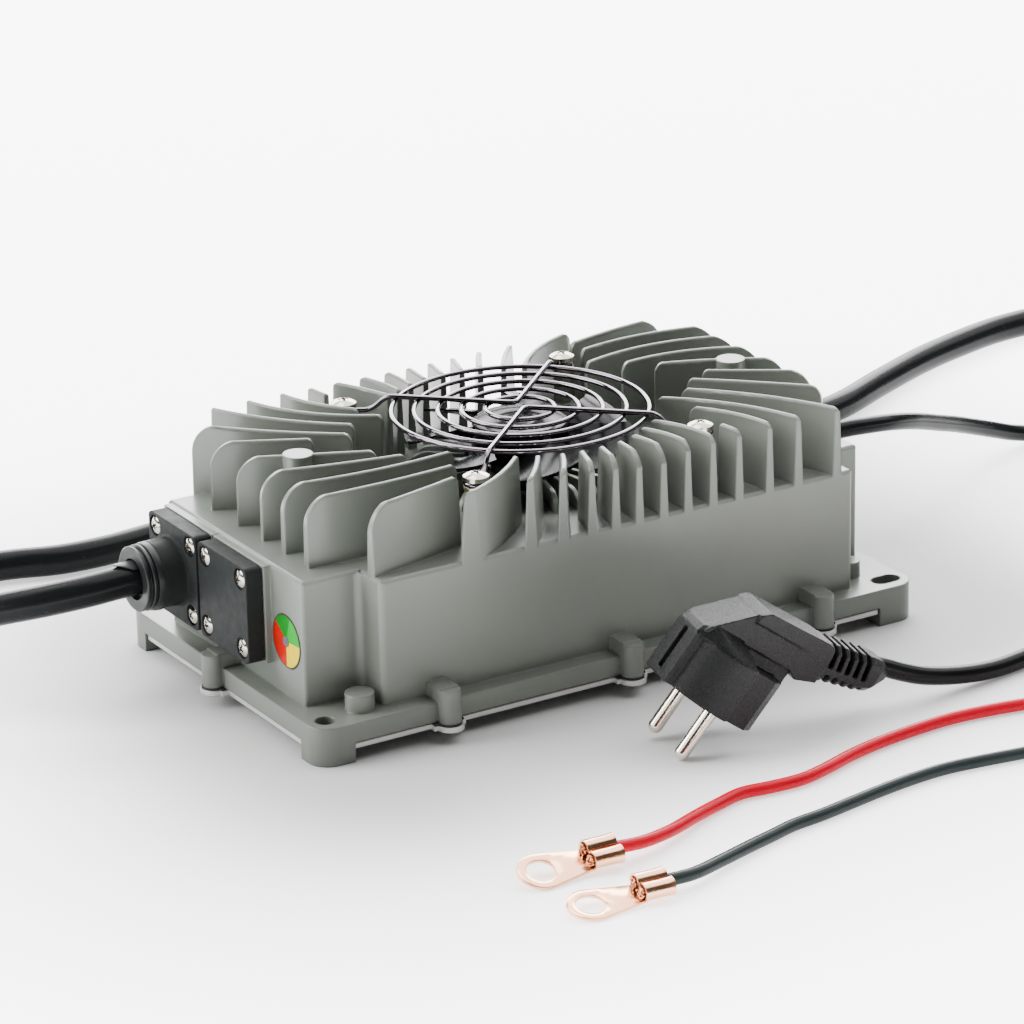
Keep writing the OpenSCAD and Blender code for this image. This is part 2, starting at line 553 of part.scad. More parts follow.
// battery cable: through its gland, down and back behind the body, then round to the breakout
dc_pts = [[-126,32,47],[-150,32,47],[-166,32,47],[-182,33,46],[-199,38,44],[-215,49,40],[-228,65,33],[-236,85,24],[-239,107,15.5],
  [-235,130,9.5],[-222,151,7],[-202,166,6.6],[-178,173,6.6],[-154,171,6.6],[-132,164,6.6],[-110,162.5,6.6],[-88,165,6.6],
  [-50,169,6.6],[-10,168,6.6],[30,163,6.6],[70,156,6.6],[110,147,6.6],[150,138,6.6],[188,131,6.6],[222,130,6.6],[255,137.5,6.6],
  [290,154,6.6],[325,169.5,6.6],[357,180,6.6],[386,186.5,6.6],[416,186,6.6],[442,171,6.6],[456,144,6.6],[456,112,6.6],
  [447,74,6.6],[435,36,6.6],[423,-2,6.6],[409,-42,6.6],[390,-80,6.6],[368,-118,6.6],[340,-152,6.6],[306,-178,6.6],[270,-192,7.2],[240,-198,8.2]];
module dc_cable() full_size() color("#18191a") tube(dc_pts, dc_d, 10);

// moulded piece where the cable divides
module lead_breakout() full_size() color("#121212") hull() {
  translate([232,-198,8.2]) rotate([0,90,0]) rotate(180/32) cylinder(d=16.4, h=8, $fn=32);
  for (y=[-202.5,-193.5], z=[5,8]) translate([206,y,z]) rotate([0,90,0]) cylinder(d=9, h=2, $fn=20);
}
red_pts = [[-91.7,-213,6.5],[-79.1,-212.3,5.4],[-64.1,-207.5,4.2],[-48.8,-200.3,3.2],[-34,-194.5,2.6],[-22,-191.3,2.6],[-10,-192.7,2.6],[4,-193.3,2.6],
  [18,-190,2.6],[32,-185.3,2.6],[48,-181.5,2.6],[66,-179,2.6],[86,-177.8,2.6],[106,-180,2.6],[126,-184,2.6],[150,-188.5,2.6],
  [172,-191.5,3],[190,-193.3,4.6],[206,-194.4,6.5]];
black_pts = [[-90.4,-244.8,5.4],[-78,-243.8,4.6],[-63.3,-238.6,3.6],[-46.4,-232.7,2.9],[-34,-229,2.6],[-22,-225.7,2.6],[-8,-224,2.6],[8,-221.1,2.6],
  [24,-218.2,2.6],[40,-216.1,2.6],[56,-215.5,2.6],[74,-217.7,2.6],[92,-220.4,2.6],[112,-221,2.6],[134,-218,2.6],[154,-212,2.6],
  [174,-206,3],[190,-202.8,4.6],[206,-201.6,6.5]];
module red_lead() full_size() color("#c4103c") tube(red_pts, lead_d, 8);
module black_lead() full_size() color("#2c2f31") tube(black_pts, lead_d, 8);
// ring terminal: eye at the origin, barrel towards +X
module ring_terminal() difference() {
  union() {
    cylinder(d=18, h=1.4);
    linear_extrude(1.4) polygon([[1.6,-8.8],[20.5,-5],[20.5,5],[1.6,8.8]]);
    translate([19,-3,3.6]) rotate([0,90,0]) cylinder(r=3.5, h=12);
    translate([19,3,3.6]) rotate([0,90,0]) cylinder(r=3.5, h=12);
    translate([19,-3.1,0.1]) cube([12,6.2,3.6]);
  }
  translate([0,0,-1]) cylinder(d=lug_hole, h=4);
}
module red_ring_terminal() full_size() color("#c9824e") translate([-122.3,-210.2,3.05]) rotate([19.6,0,-3]) ring_terminal();
module black_ring_terminal() full_size() color("#c9824e") translate([-120.95,-241.85,1.82]) rotate([11.4,0,-4.2]) ring_terminal();

// mains cord: out of the right-hand end, down to the surface and into its coil
ac_pts = [[126,18,47],[148,18,47],[172,18,47],[184,18.5,46.2],[198,20.8,44.2],[212,26,40.5],[226,33,35.5],[240,40,30],[254,46.8,24.6],[268,52.5,19],
  [282,57,13.5],[296,60.5,8.2],[310,61.5,4.8],[324,59,3.9],[337,51,3.9],[345,38,3.9],[348,20,3.9],[346,0,3.9],[342,-20,3.9],[338,-40,4.2],[335.6,-60,4.8]];
coil_c = [290,-80,0];
coil_r = 41;                 // mean radius of the turns
plug_pts = [[286,-124.8,12.6],[266,-125,11],[246,-126,7.7],[226,-128,4.9],[206,-131.5,3.9],[184,-136.5,3.9],[163,-142,3.9],[147,-146.6,3.9],
  [131,-149.3,3.9],[117.4,-150.7,5],[103.3,-151.1,7.2],[90.5,-151.4,10.4],[80,-151,14.4],[73,-150.2,17.6],[65.5,-149.4,20.6]];
module mains_cord() full_size() color("#16181a") tube(ac_pts, ac_d, 8);
module mains_coil() full_size() color("#16181a") translate(coil_c) rotate_extrude() rrect(coil_r-ac_d-0.2, coil_r+ac_d+0.2, 1.1, 2*ac_d+1.3, 3.6);
// flat band that holds the turns together
module coil_tie() full_size() color("#101112") translate(coil_c) rotate(-49.2) rotate_extrude(angle=8.4) difference() {
  rrect(coil_r-ac_d-1.1, coil_r+ac_d+1.1, 0, 2*ac_d+2.2, 4);
  rrect(coil_r-ac_d-0.25, coil_r+ac_d+0.25, 1.05, 2*ac_d+1.35, 3.6);
}
module mains_cord_end() full_size() color("#16181a") tube(plug_pts, ac_d, 8);

// ---------- plug ----------
// local frame: cord along +X, pins along +Z, pin pitch along Y, contact face at z = 0
module plug_place() translate([-6.95,-139.85,20.4]) rotate([187.4,36.3,-3.05]) children();
pin_pitch = 19/k; pin_d = 4.8/k; pin_l = 19/k;

// upright eight-sided slice across the cord's direction
module plug_slice(x, w, z0, z1, c) translate([x,0,0]) rotate([90,0,90]) linear_extrude(0.5)
  polygon([[-w+c,z0],[w-c,z0],[w,z0+c],[w,z1-c],[w-c,z1],[-w+c,z1],[-w,z1-c],[-w,z0+c]]);
module plug_side(y, pts) translate([0,y,0]) rotate([90,0,0]) linear_extrude(2*y) polygon(pts);
// one slot of the relief runs over the top and down the sides, and again round the lower edge
module relief_slot(i) translate([34.8+4.35*i,0,-44.6-0.4*i]) rotate([0,16,0]) difference() {
  translate([0,-12,-3]) cube([2.3,24,24]);
  translate([-1,-4.6,3.4]) cube([5,9.2,9.8-0.1*i]);
  translate([-1,-13,9.4-0.1*i]) cube([5,26,2.8]);
}
module plug_body() full_size() color("#1f2022") plug_place() difference() {
  union() {
    // body at the contact face: round towards the free side, boxed towards the cord
    translate([0,0,-22.5]) linear_extrude(22.5) {
      intersection() { circle(r=21.8); translate([-23,-23]) square([24,46]); }
      polygon([[-1,-19], [12.3,-19], [19,-13.6], [19,13.6], [12.3,19], [-1,19]]);
      translate([-24.2,-8]) square([10,16]);
    }
    // shoulder up to the grip
    hull() {
      translate([0,0,-23.2]) linear_extrude(1) intersection() { circle(r=21.6, $fn=48); translate([-23,-23]) square([24,46]); }
      translate([-24.2,-7,-23.4]) cube([4,14,1]);
      translate([-22.5,-6.5,-26.4]) cube([2,13,1]);
      translate([-18,-9,-29]) cube([14,18,1]);
    }
    // neck behind the boxed part
    translate([-6,-7,-30]) cube([30,14,9]);
    // grip with its slanted top
    plug_side(9, [[-22.3,-25], [-20.6,-27.6], [-5.4,-40.4], [-1,-43.4], [34,-44.2], [36,-42], [36,-28.2], [26.4,-25.2], [22,-27.6], [-8,-27.6], [-14,-24]]);
    // raised plate along the top of the grip
    intersection() {
      plug_side(12, [[-5.6,-40.6], [-1,-43.6], [34,-44.4], [34,-37.6], [-5.6,-37.6]]);
      translate([0,0,-50]) linear_extrude(20) polygon([[-6,-8], [-4.6,-10.4], [14,-10], [32,-8.6], [32,8.6], [14,10], [-4.6,10.4], [-6,8]]);
    }
    // relief
    hull() { plug_slice(33, 8.6, -44.3, -28, 2.6); plug_slice(56, 7.9, -48, -32.6, 2.6); }
    hull() { plug_slice(56, 7.9, -48, -32.6, 2.6); plug_slice(61, 7.4, -48.3, -34.2, 3); plug_slice(66, 5, -46.6, -40, 2.4); }
  }
  for (i=[0:4]) relief_slot(i);
  // contact slots
  translate([-25,-1.3,-21.5]) cube([6,2.6,18.5]);
  translate([15,-1.3,-19.5]) cube([6,2.6,16.5]);
}
module plug_pins() full_size() color("#c9c4b8") plug_place() for (y=[-pin_pitch/2,pin_pitch/2]) translate([0,y,0]) {
  cylinder(d=pin_d, h=pin_l-pin_d/2);
  translate([0,0,pin_l-pin_d/2]) intersection() { sphere(d=pin_d); cylinder(d=pin_d+1, h=pin_d); }
}
module plug_earth_contacts() full_size() color("#b9b4a8") plug_place() {
  translate([-20,-1,-21]) cube([0.9,2,17.5]);
  translate([15.1,-1,-19]) cube([0.9,2,15.5]);
}

housing();
base_plate();
base_gasket();
base_screws();
dc_gland_panel();
dc_panel_gasket();
dc_panel_screws();
dc_gland_nut();
blank_panel();
blank_panel_gasket();
blank_panel_screws();
ac_gland_panel();
ac_panel_gasket();
ac_panel_screws();
ac_strain_relief();
fan_motor_base();
fan_base_screws();
fan_stator();
fan_bearings();
fan_shaft();
fan_magnet();
fan_rotor();
guard_posts();
fan_guard();
guard_washers();
guard_screws();
status_window();
status_lamp();
circuit_board();
board_screws();
transformer();
transformer_winding();
choke_core();
choke_winding();
capacitors();
power_transistors();
insulating_pad();
terminal_blocks();
mains_cord();
mains_coil();
coil_tie();
mains_cord_end();
plug_body();
plug_pins();
plug_earth_contacts();
dc_cable();
lead_breakout();
red_lead();
black_lead();
red_ring_terminal();
black_ring_terminal();
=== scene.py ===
import bpy, bmesh, math, random
from mathutils import Vector, Matrix


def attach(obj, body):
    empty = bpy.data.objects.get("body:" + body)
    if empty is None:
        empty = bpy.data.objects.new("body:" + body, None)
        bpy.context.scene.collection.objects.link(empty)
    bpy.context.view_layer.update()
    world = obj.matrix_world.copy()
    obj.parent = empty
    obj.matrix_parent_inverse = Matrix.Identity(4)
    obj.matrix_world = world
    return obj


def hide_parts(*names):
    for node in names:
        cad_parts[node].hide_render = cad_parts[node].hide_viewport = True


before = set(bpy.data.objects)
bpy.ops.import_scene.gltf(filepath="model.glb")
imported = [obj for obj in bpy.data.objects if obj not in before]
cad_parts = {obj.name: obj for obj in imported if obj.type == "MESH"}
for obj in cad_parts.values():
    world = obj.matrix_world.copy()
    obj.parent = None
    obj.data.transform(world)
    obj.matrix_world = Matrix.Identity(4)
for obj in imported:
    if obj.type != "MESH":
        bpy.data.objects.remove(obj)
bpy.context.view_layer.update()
MM = 0.00082     # metres to one grid unit of the construction
rnd = random.Random(7)

# ---------------------------------------------------------------- camera
yaw, pitch, roll = math.radians(31.02), math.radians(20.58), math.radians(-1.16)
fwd = Vector((math.sin(yaw) * math.cos(pitch), math.cos(yaw) * math.cos(pitch), -math.sin(pitch)))
right = Vector((math.cos(yaw), -math.sin(yaw), 0))
up = right.cross(fwd)
cam_x = right * math.cos(roll) + up * math.sin(roll)
cam_y = up * math.cos(roll) - right * math.sin(roll)
cam_data = bpy.data.cameras.new("camera")
cam_data.sensor_width = 36
cam_data.lens = 4554.16 * 36 / 1024
cam_data.clip_start, cam_data.clip_end = 0.05, 60
cam = bpy.data.objects.new("camera", cam_data)
bpy.context.scene.collection.objects.link(cam)
cam_at = Vector((-0.737041, -1.219020, 0.576960))
m = Matrix((cam_x, cam_y, -fwd)).transposed().to_4x4()
m.translation = cam_at
cam.matrix_world = m
bpy.context.scene.camera = cam


# ---------------------------------------------------------------- mesh helpers
def obj_from(name, verts, faces, smooth=True, mats=()):
    me = bpy.data.meshes.new(name)
    me.from_pydata([tuple(v) for v in verts], [], faces)
    me.validate()
    o = bpy.data.objects.new(name, me)
    bpy.context.scene.collection.objects.link(o)
    if smooth:
        me.polygons.foreach_set("use_smooth", [True] * len(me.polygons))
    for k in mats:
        me.materials.append(k)
    me.update()
    return o


def catmull(p, n):
    """Points on a smooth line through p, n to a span."""
    out = []
    for i in range(len(p) - 1):
        a, b, c, d = p[max(i - 1, 0)], p[i], p[i + 1], p[min(i + 2, len(p) - 1)]
        for k in range(n):
            t = k / n
            out.append(0.5 * (2 * b + (c - a) * t + (2 * a - 5 * b + 4 * c - d) * t * t + (3 * b - 3 * c + d - a) * t ** 3))
    return out + [p[-1].copy()]


def round_corners(p, rad, n=5):
    """A polyline with each corner turned on a small curve."""
    out = [p[0]]
    for i in range(1, len(p) - 1):
        a, b, c = p[i - 1], p[i], p[i + 1]
        u, v = (a - b), (c - b)
        r1, r2 = min(rad, 0.48 * u.length), min(rad, 0.48 * v.length)
        s, e = b + u.normalized() * r1, b + v.normalized() * r2
        for k in range(n + 1):
            t = k / n
            out.append(s * (1 - t) ** 2 + b * 2 * t * (1 - t) + e * t * t)
    return out + [p[-1]]


def tube_parts(pts, r, sides=24, cap=True, radius=None):
    """Vertices and faces of a round tube on a line of points, with frames carried along it."""
    verts, faces = [], []
    n = len(pts)
    t0 = (pts[1] - pts[0]).normalized()
    s = t0.cross(Vector((0, 0, 1)))
    if s.length < 0.1:
        s = t0.cross(Vector((0, 1, 0)))
    s.normalize()
    for i, p in enumerate(pts):
        t = (pts[min(i + 1, n - 1)] - pts[max(i - 1, 0)]).normalized()
        s = (s - t * s.dot(t)).normalized()
        u = t.cross(s)
        rr = radius(i / (n - 1)) if radius else r
        for k in range(sides):
            a = 2 * math.pi * k / sides
            verts.append(p + (s * math.cos(a) + u * math.sin(a)) * rr)
    for i in range(n - 1):
        for k in range(sides):
            a, b = i * sides + k, i * sides + (k + 1) % sides
            faces.append((a, b, b + sides, a + sides))
    if cap:
        faces.append(tuple(range(sides - 1, -1, -1)))
        faces.append(tuple((n - 1) * sides + k for k in range(sides)))
    return verts, faces


def join_parts(parts):
    verts, faces = [], []
    for v, f in parts:
        o = len(verts)
        verts += v
        faces += [tuple(i + o for i in q) for q in f]
    return verts, faces


def lathe_parts(profile, sides=48, at=(0, 0, 0), closed=False):
    """Turns a profile of (radius, height) about Z. A zero radius makes a pole."""
    verts, faces, rows = [], [], []
    for r, z in profile:
        if r < 1e-7:
            rows.append([len(verts)])
            verts.append(Vector((at[0], at[1], at[2] + z)))
        else:
            rows.append(list(range(len(verts), len(verts) + sides)))
            for k in range(sides):
                a = 2 * math.pi * k / sides
                verts.append(Vector((at[0] + r * math.cos(a), at[1] + r * math.sin(a), at[2] + z)))
    pairs = list(zip(rows, rows[1:])) + ([(rows[-1], rows[0])] if closed else [])
    for a, b in pairs:
        if len(a) == 1 and len(b) == 1:
            continue
        for k in range(sides):
            l = (k + 1) % sides
            if len(a) == 1:
                faces.append((a[0], b[k], b[l]))
            elif len(b) == 1:
                faces.append((a[k], b[0], a[l]))
            else:
                faces.append((a[k], b[k], b[l], a[l]))
    return verts, faces


def outward(o):
    bm = bmesh.new()
    bm.from_mesh(o.data)
    bmesh.ops.recalc_face_normals(bm, faces=bm.faces)
    bm.to_mesh(o.data)
    bm.free()


def sharpen(o, angle=35):
    """Smooth shading with hard edges where faces meet at more than an angle."""
    bm = bmesh.new()
    bm.from_mesh(o.data)
    for e in bm.edges:
        if len(e.link_faces) == 2 and e.calc_face_angle(0) > math.radians(angle):
            e.smooth = False
    for f in bm.faces:
        f.smooth = True
    bm.to_mesh(o.data)
    bm.free()


V = lambda *a: Vector(a) * MM

# ---------------------------------------------------------------- cords
dc_pts = [V(*q) for q in [
    (-134.5, 32, 47), (-150, 32, 47), (-166, 32, 47), (-182, 33, 46), (-199, 38, 44), (-215, 49, 40), (-228, 65, 33), (-236, 85, 24), (-239, 107, 15.5),
    (-235, 130, 9.5), (-222, 151, 7), (-202, 166, 6.6), (-178, 173, 6.6), (-154, 171, 6.6), (-132, 164, 6.6), (-110, 162.5, 6.6), (-88, 165, 6.6),
    (-50, 169, 6.6), (-10, 168, 6.6), (30, 163, 6.6), (70, 156, 6.6), (110, 147, 6.6), (150, 138, 6.6), (188, 131, 6.6), (222, 130, 6.6), (255, 137.5, 6.6),
    (290, 154, 6.6), (325, 169.5, 6.6), (357, 180, 6.6), (386, 186.5, 6.6), (416, 186, 6.6), (442, 171, 6.6), (456, 144, 6.6), (456, 112, 6.6),
    (447, 74, 6.6), (435, 36, 6.6), (423, -2, 6.6), (409, -42, 6.6), (390, -80, 6.6), (368, -118, 6.6), (340, -152, 6.6), (306, -178, 6.6), (270, -192, 7.2),
    (240, -198, 8.2), (234, -198, 8.2)]]
red_pts = [V(*q) for q in [
    (-91.7, -213, 6.5), (-79.1, -212.3, 5.4), (-64.1, -207.5, 4.2), (-48.8, -200.3, 3.2), (-34, -194.5, 2.6), (-22, -191.3, 2.6), (-10, -192.7, 2.6), (4, -193.3, 2.6),
    (18, -190, 2.6), (32, -185.3, 2.6), (48, -181.5, 2.6), (66, -179, 2.6), (86, -177.8, 2.6), (106, -180, 2.6), (126, -184, 2.6), (150, -188.5, 2.6),
    (172, -191.5, 3), (190, -193.3, 4.6), (206, -194.4, 6.5)]]
black_pts = [V(*q) for q in [
    (-90.4, -244.8, 5.4), (-78, -243.8, 4.6), (-63.3, -238.6, 3.6), (-46.4, -232.7, 2.9), (-34, -229, 2.6), (-22, -225.7, 2.6), (-8, -224, 2.6), (8, -221.1, 2.6),
    (24, -218.2, 2.6), (40, -216.1, 2.6), (56, -215.5, 2.6), (74, -217.7, 2.6), (92, -220.4, 2.6), (112, -221, 2.6), (134, -218, 2.6), (154, -212, 2.6),
    (174, -206, 3), (190, -202.8, 4.6), (206, -201.6, 6.5)]]
ac_pts = [V(*q) for q in [
    (134.5, 18, 47), (148, 18, 47), (172, 18, 47), (184, 18.5, 46.2), (198, 20.8, 44.2), (212, 26, 40.5), (226, 33, 35.5), (240, 40, 30), (254, 46.8, 24.6),
    (268, 52.5, 19), (282, 57, 13.5), (296, 60.5, 8.2), (310, 61.5, 4.8), (324, 59, 3.9), (337, 51, 3.9), (345, 38, 3.9), (348, 20, 3.9), (346, 0, 3.9),
    (342, -20, 3.9), (338, -40, 4.2), (335.6, -60, 4.8)]]
plug_pts = [V(*q) for q in [
    (266, -125, 11), (246, -126, 7.7), (226, -128, 4.9), (206, -131.5, 3.9), (184, -136.5, 3.9), (163, -142, 3.9), (147, -146.6, 3.9),
    (131, -149.3, 3.9), (117.4, -150.7, 5), (103.3, -151.1, 7.2), (90.5, -151.4, 10.4), (80, -151, 14.4), (73, -150.2, 17.6), (65.5, -149.4, 20.6)]]


def coil_point(deg):
    """Three and a quarter turns in two layers of two; deg counts clockwise from the side where the cord comes in."""
    def ease(a, b):
        t = min(max((deg - a) / (b - a), 0), 1)
        return t * t * (3 - 2 * t)
    r = 44.8 - 7.6 * ease(295, 345) + 7.6 * ease(915, 965)
    z = 4.9 + 7.7 * ease(605, 655)
    a = -math.radians(deg)
    return V(290 + r * math.cos(a), -80 + r * math.sin(a), z)


coil = [coil_point(d) for d in range(0, 1171, 10)]
mains_path = catmull(ac_pts + [coil[0]], 4)[:-1] + coil + catmull([coil[-1]] + plug_pts, 4)[1:]
dc_path = catmull(dc_pts, 4)
red_path, black_path = catmull(red_pts, 4), catmull(black_pts, 4)


def cord_mesh(name, path, d, sides=24):
    v, f = tube_parts(path, d * MM / 2, sides)
    o = obj_from(name, v, f)
    sharpen(o, 60)
    return o


mains = cord_mesh("mains_cord_tube", mains_path, 7.56, 20)
dc = cord_mesh("battery_cable_tube", dc_path, 13.05, 32)
red = cord_mesh("red_lead_tube", red_path, 5)
black = cord_mesh("black_lead_tube", black_path, 5)


# ---------------------------------------------------------------- materials
def srgb(r, g, b):
    f = lambda c: (c / 255 / 12.92) if c / 255 <= 0.04045 else ((c / 255 + 0.055) / 1.055) ** 2.4
    return (f(r), f(g), f(b), 1)


def finish_mat(name, base, rough, metal=0.0, vary=0.06, vscale=60, rvary=0.08, bump=0.0, bscale=900, bdist=0.00015,
               bevel=0.0, coat=0.0, coat_rough=0.1, spec=0.5, stretch=(1, 1, 1), detail=4, ior=1.5, dust=None, sheen=0.0, scratch=0.0):
    """A Principled material: colour and roughness wander a little, fine grain in the bump, and soft edges."""
    k = bpy.data.materials.new(name)
    k.use_nodes = True
    nt = k.node_tree
    b = nt.nodes["Principled BSDF"]
    b.inputs["Metallic"].default_value = metal
    b.inputs["IOR"].default_value = ior
    b.inputs["Specular IOR Level"].default_value = spec
    b.inputs["Coat Weight"].default_value = coat
    b.inputs["Coat Roughness"].default_value = coat_rough
    if sheen:
        b.inputs["Sheen Weight"].default_value = sheen
    tc = nt.nodes.new("ShaderNodeTexCoord")
    mp = nt.nodes.new("ShaderNodeMapping")
    mp.inputs["Scale"].default_value = tuple(1.22 * q for q in stretch)
    nt.links.new(tc.outputs["Object"], mp.inputs["Vector"])
    n1 = nt.nodes.new("ShaderNodeTexNoise")
    n1.inputs["Scale"].default_value = vscale
    n1.inputs["Detail"].default_value = detail
    nt.links.new(mp.outputs["Vector"], n1.inputs["Vector"])
    # colour
    ramp = nt.nodes.new("ShaderNodeValToRGB")
    lo = tuple(max(0, c * (1 - vary)) for c in base[:3]) + (1,)
    hi = tuple(min(1, c * (1 + vary)) for c in base[:3]) + (1,)
    ramp.color_ramp.elements[0].position, ramp.color_ramp.elements[1].position = 0.3, 0.7
    ramp.color_ramp.elements[0].color, ramp.color_ramp.elements[1].color = lo, hi
    nt.links.new(n1.outputs["Fac"], ramp.inputs["Fac"])
    colour = ramp.outputs["Color"]
    if dust:
        # pale dust in broad faint patches
        n3 = nt.nodes.new("ShaderNodeTexNoise")
        n3.inputs["Scale"].default_value = dust[1]
        n3.inputs["Detail"].default_value = 6
        nt.links.new(tc.outputs["Object"], n3.inputs["Vector"])
        rr = nt.nodes.new("ShaderNodeMapRange")
        rr.inputs["From Min"].default_value, rr.inputs["From Max"].default_value = 0.42, 0.75
        rr.inputs["To Min"].default_value, rr.inputs["To Max"].default_value = dust[3], dust[2]
        nt.links.new(n3.outputs["Fac"], rr.inputs["Value"])
        mx = nt.nodes.new("ShaderNodeMix")
        mx.data_type = "RGBA"
        mx.inputs[7].default_value = dust[0]
        nt.links.new(rr.outputs["Result"], mx.inputs["Factor"])
        nt.links.new(colour, mx.inputs[6])
        colour = mx.outputs[2]
    nt.links.new(colour, b.inputs["Base Color"])
    # roughness
    mr = nt.nodes.new("ShaderNodeMapRange")
    mr.inputs["From Min"].default_value, mr.inputs["From Max"].default_value = 0.3, 0.7
    mr.inputs["To Min"].default_value, mr.inputs["To Max"].default_value = max(0.02, rough - rvary), min(1, rough + rvary)
    n2 = nt.nodes.new("ShaderNodeTexNoise")
    n2.inputs["Scale"].default_value = vscale * 2.3
    n2.inputs["Detail"].default_value = 3
    nt.links.new(mp.outputs["Vector"], n2.inputs["Vector"])
    nt.links.new(n2.outputs["Fac"], mr.inputs["Value"])
    nt.links.new(mr.outputs["Result"], b.inputs["Roughness"])
    # normal
    normal = None
    if bevel:
        bv = nt.nodes.new("ShaderNodeBevel")
        bv.samples = 5
        bv.inputs["Radius"].default_value = bevel * MM
        normal = bv.outputs["Normal"]
    if bump:
        n4 = nt.nodes.new("ShaderNodeTexNoise")
        n4.inputs["Scale"].default_value = bscale
        n4.inputs["Detail"].default_value = 2
        nt.links.new(mp.outputs["Vector"], n4.inputs["Vector"])
        bp = nt.nodes.new("ShaderNodeBump")
        bp.inputs["Strength"].default_value = bump
        bp.inputs["Distance"].default_value = bdist
        nt.links.new(n4.outputs["Fac"], bp.inputs["Height"])
        if normal:
            nt.links.new(normal, bp.inputs["Normal"])
        normal = bp.outputs["Normal"]
    if normal:
        nt.links.new(normal, b.inputs["Normal"])
    return k


M = {}
M["cast"] = finish_mat("cast_paint", srgb(107, 112, 105), 0.31, metal=0.12, vary=0.03, vscale=35, rvary=0.03, bump=0.1, bscale=520, bdist=0.0001, bevel=1.1, spec=0.34)
M["plate"] = finish_mat("plate_alloy", srgb(205, 207, 203), 0.38, metal=0.55, vary=0.05, vscale=90, rvary=0.1, bump=0.1, bscale=500, stretch=(0.08, 1, 1), bevel=0.5)
M["rubber"] = finish_mat("seal_rubber", srgb(26, 27, 28), 0.7, vary=0.15, vscale=200, bump=0.2, bscale=1500)
M["panel"] = finish_mat("panel_plastic", srgb(33, 35, 35), 0.44, vary=0.08, vscale=120, rvary=0.08, bump=0.1, bscale=700, bdist=0.00008, bevel=0.9, spec=0.07, ior=1.36)
M["gland"] = finish_mat("gland_rubber", srgb(20, 22, 23), 0.4, vary=0.1, vscale=110, rvary=0.08, bump=0.1, bscale=700, bdist=0.00008, bevel=0.3, spec=0.3)
M["stainless"] = finish_mat("stainless_steel", srgb(172, 168, 158), 0.17, metal=1, vary=0.05, vscale=300, rvary=0.06, bump=0.03, bscale=3000, bevel=0.2)
M["chrome"] = finish_mat("bright_wire", srgb(108, 101, 108), 0.06, metal=1, vary=0.05, vscale=180, rvary=0.03, bump=0.02, bscale=700, bevel=0.0)
M["fan"] = finish_mat("fan_gloss_black", srgb(10, 11, 13), 0.2, vary=0.15, vscale=90, rvary=0.03, bump=0.0, spec=0.08)
M["motor"] = finish_mat("motor_plastic", srgb(22, 23, 25), 0.4, vary=0.15, vscale=90, bump=0.15, bscale=1500, bevel=0.5)
M["steel"] = finish_mat("ground_steel", srgb(188, 190, 192), 0.25, metal=1, vary=0.06, vscale=220, bevel=0.2, bump=0.05, bscale=2000)
M["stator"] = finish_mat("stator_windings", srgb(150, 84, 40), 0.35, metal=0.8, vary=0.3, vscale=500, bump=0.5, bscale=900, bdist=0.0004)
M["magnet"] = finish_mat("magnet_ring", srgb(58, 58, 62), 0.5, metal=0.4, vary=0.15, vscale=160, bump=0.1)
M["post"] = finish_mat("post_metal", srgb(150, 152, 146), 0.3, metal=0.9, vary=0.08, vscale=160, bevel=0.4, bump=0.06, bscale=1500)
M["washer"] = finish_mat("washer_zinc", srgb(210, 206, 170), 0.3, metal=1, vary=0.1, vscale=200, bevel=0.25, bump=0.05, bscale=1500)
M["lamp"] = finish_mat("lamp_lens", srgb(92, 92, 98), 0.16, vary=0.06, vscale=300, coat=0.15, coat_rough=0.05, bump=0.05, bscale=900, bevel=0.4)
M["board"] = finish_mat("board_green", srgb(24, 96, 56), 0.45, vary=0.18, vscale=260, bump=0.2, bscale=800)
M["core"] = finish_mat("ferrite_core", srgb(58, 60, 64), 0.55, vary=0.12, vscale=200, bump=0.25, bscale=1400, bevel=0.6)
M["winding"] = finish_mat("winding_tape", srgb(206, 168, 72), 0.4, vary=0.1, vscale=120, bump=0.25, bscale=260, stretch=(1, 1, 6))
M["enamel"] = finish_mat("enamel_wire", srgb(184, 96, 44), 0.25, metal=0.7, vary=0.15, vscale=200, bump=0.15, bscale=500, bevel=0.5)
M["yellow"] = finish_mat("yellow_core", srgb(214, 190, 78), 0.5, vary=0.08, vscale=160, bump=0.1)
M["cap"] = finish_mat("capacitor_sleeve", srgb(30, 44, 76), 0.3, vary=0.1, vscale=100, bump=0.05, bevel=0.8)
M["package"] = finish_mat("package_black", srgb(30, 30, 32), 0.5, vary=0.1, vscale=200, bump=0.15, bevel=0.3)
M["pad"] = finish_mat("pad_silicone", srgb(214, 208, 190), 0.6, vary=0.05, vscale=100, bump=0.1)
M["block"] = finish_mat("terminal_green", srgb(44, 96, 60), 0.4, vary=0.08, vscale=120, bump=0.1, bevel=0.5)
M["cable"] = finish_mat("cable_pvc", srgb(18, 20, 21), 0.26, vary=0.08, vscale=40, rvary=0.02, bump=0.02, bscale=300, bdist=0.0001, spec=0.3, ior=1.24)
M["mains"] = finish_mat("mains_pvc", srgb(18, 20, 21), 0.26, vary=0.08, vscale=40, rvary=0.02, bump=0.02, bscale=300, bdist=0.0001, spec=0.3, ior=1.24)
M["red"] = finish_mat("lead_red", srgb(190, 0, 36), 0.24, vary=0.04, vscale=40, rvary=0.02, bump=0.02, bscale=300, bdist=0.0001, spec=0.3, ior=1.24)
M["black"] = finish_mat("lead_black", srgb(38, 44, 44), 0.24, vary=0.06, vscale=40, rvary=0.02, bump=0.02, bscale=300, bdist=0.0001, spec=0.3, ior=1.24)
M["copper"] = finish_mat("bright_copper", srgb(240, 184, 148), 0.22, metal=1, vary=0.04, vscale=120, rvary=0.04, bump=0.02, bscale=900, bdist=0.0001, bevel=0.25)
